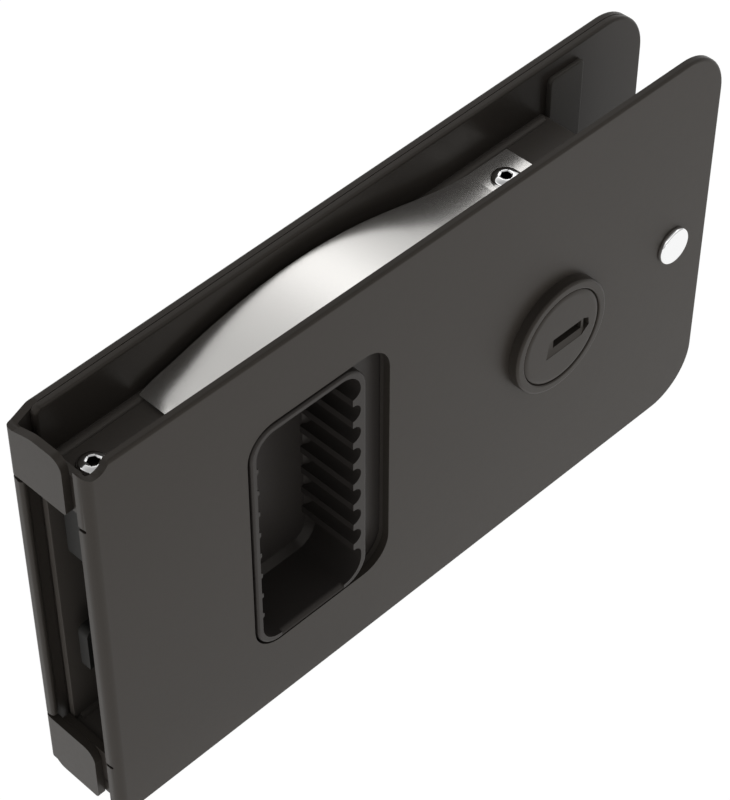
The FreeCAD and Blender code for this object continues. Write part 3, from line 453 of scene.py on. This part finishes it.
def button_screw(name, node, spot, base, shank, taller):
    """A button screw upright on base; shank is its length below, taller lifts its head."""
    rings = [(radius, height + taller) for radius, height in HEAD]
    rings += [*HEAD_FOOT, (SHANK_R, 0.0), (SHANK_R, -shank),
              (SHANK_R - SHANK_TIP, -shank - SHANK_TIP)]
    shape = bmesh.new()
    bmesh.ops.create_circle(shape, cap_ends=False, segments=6, radius=HEX_CORNER * MM)
    bmesh.ops.subdivide_edges(shape, edges=shape.edges[:], cuts=7)
    rim = shape.edges[:]
    bmesh.ops.translate(shape, verts=shape.verts[:], vec=(0.0, 0.0, (HEX_TOP + taller) * MM))
    down = bmesh.ops.extrude_edge_only(shape, edges=rim)["geom"]
    bmesh.ops.translate(shape, verts=only(VERT, down), vec=(0.0, 0.0, -HEX_DEEP * MM))
    floor = bmesh.ops.contextual_create(shape, geom=only(EDGE, down))["faces"]
    socket = set(floor + only(FACE, down))
    first = bmesh.ops.create_circle(shape, cap_ends=False, segments=48,
                                    radius=rings[0][0] * MM)["verts"]
    bmesh.ops.translate(shape, verts=first, vec=(0.0, 0.0, rings[0][1] * MM))
    loop = edges_at(first)
    bmesh.ops.bridge_loops(shape, edges=rim + loop)
    drawn_out(shape, loop, rings)
    bmesh.ops.translate(shape, verts=shape.verts, vec=place(*spot, base))
    # The hex socket's faces take the second material, the socket's painted shade
    for f in shape.faces:
        f.material_index = 1 if f in socket else 0
    stand_for(shape, name, node).data.materials.append(PAINTED_SOCKET_SHADE)


button_screw("case_button_screw", "case_screw", (9.5, 9.8), 79.07, 9.7, 0.25)
button_screw("leaf_button_screw", "leaf_screw", (109.8, 10.2), 79.09, 5.2, 0.9)

# Studio: all lengths in metres
FLOOR_HALF = 3.0
FLOOR_Z = -0.0002
# Height on the sky, from the horizon up, and how bright it shows in glossy faces
SKY_BANDS = ((0.0, 0.5), (0.42, 0.7), (0.54, 1.0), (0.62, 1.35), (0.7, 1.4), (0.745, 1.0),
             (0.785, 0.72), (0.84, 0.6), (0.93, 0.4))
SKY_TOP = 1.4
SKY_SOFT = 0.4


def maths(tree, operation, one, other):
    return add(tree, "ShaderNodeMath", {"operation": operation}, i0=one, i1=other).outputs[0]


def studio_floor():
    """A sheet that is white to the lens and in reflections, and lifts the undersides a little."""
    shape = bmesh.new()
    bmesh.ops.create_grid(shape, x_segments=1, y_segments=1, size=FLOOR_HALF)
    mesh = bpy.data.meshes.new("floor")
    shape.to_mesh(mesh)
    shape.free()
    floor = bpy.data.objects.new("floor", mesh)
    bpy.context.scene.collection.objects.link(floor)
    floor.location = (0.0, 0.0, FLOOR_Z)
    material, tree = new_material("pale_floor")
    path = add(tree, "ShaderNodeLightPath").outputs
    seen = maths(tree, "MAXIMUM", path["Is Camera Ray"], path["Is Glossy Ray"])
    seen = maths(tree, "MAXIMUM", seen, path["Is Transmission Ray"])
    share = maths(tree, "MULTIPLY", seen, 0.9)
    matt = add(tree, "ShaderNodeBsdfDiffuse", Color=linear("d8d8d8"))
    white = add(tree, "ShaderNodeEmission", Color=WHITE, Strength=1.1)
    both = add(tree, "ShaderNodeMixShader", Fac=share, i1=matt.outputs[0], i2=white.outputs[0])
    bounce = maths(tree, "MULTIPLY", path["Is Diffuse Ray"], 0.94)
    glow = add(tree, "ShaderNodeEmission", Color=(1.0, 0.99, 0.97, 1.0), Strength=bounce)
    shade(tree, add(tree, "ShaderNodeAddShader", i0=both.outputs[0],
                    i1=glow.outputs[0]).outputs[0])
    mesh.materials.append(material)


def studio_sky():
    """White to the lens, banded by height in glossy faces, dim for the soft light."""
    world = bpy.data.worlds.new("studio")
    bpy.context.scene.world = world
    world.use_nodes = True
    tree = world.node_tree
    tree.nodes.clear()
    path = add(tree, "ShaderNodeLightPath").outputs
    seen = maths(tree, "MAXIMUM", path["Is Camera Ray"], path["Is Transmission Ray"])
    up = add(tree, "ShaderNodeTexCoord").outputs["Generated"]
    height = add(tree, "ShaderNodeSeparateXYZ", Vector=up)
    glow = add(tree, "ShaderNodeValToRGB", Fac=height.outputs["Z"])
    bands = glow.color_ramp.elements
    while len(bands) < len(SKY_BANDS):
        bands.new(0.5)
    for band, (spot, level) in zip(bands, SKY_BANDS):
        band.position = spot
        band.color = (level / SKY_TOP, level / SKY_TOP, level / SKY_TOP, 1.0)
    banded = add(tree, "ShaderNodeBackground", Color=glow.outputs[0], Strength=SKY_TOP)
    white = add(tree, "ShaderNodeBackground", Color=WHITE, Strength=1.0)
    dusk = add(tree, "ShaderNodeBackground", Color=WHITE, Strength=SKY_SOFT)
    unseen = add(tree, "ShaderNodeMixShader", Fac=path["Is Diffuse Ray"],
                 i1=banded.outputs[0], i2=dusk.outputs[0])
    sky = add(tree, "ShaderNodeMixShader", Fac=seen, i1=unseen.outputs[0], i2=white.outputs[0])
    shade(tree, sky.outputs[0], "ShaderNodeOutputWorld")


def softbox(name, spot, aim, width, watts):
    data = bpy.data.lights.new(name, "AREA")
    data.shape = "SQUARE"
    data.size = width
    data.energy = watts
    lamp = bpy.data.objects.new(name, data)
    bpy.context.scene.collection.objects.link(lamp)
    lamp.location = spot
    lamp.rotation_euler = (Vector(aim) - Vector(spot)).to_track_quat("-Z", "Y").to_euler()


studio_floor()
studio_sky()
softbox("low_front", (-0.35, -1.4, 0.06), (0.0, 0.0, 0.045), 0.25, 0.3)
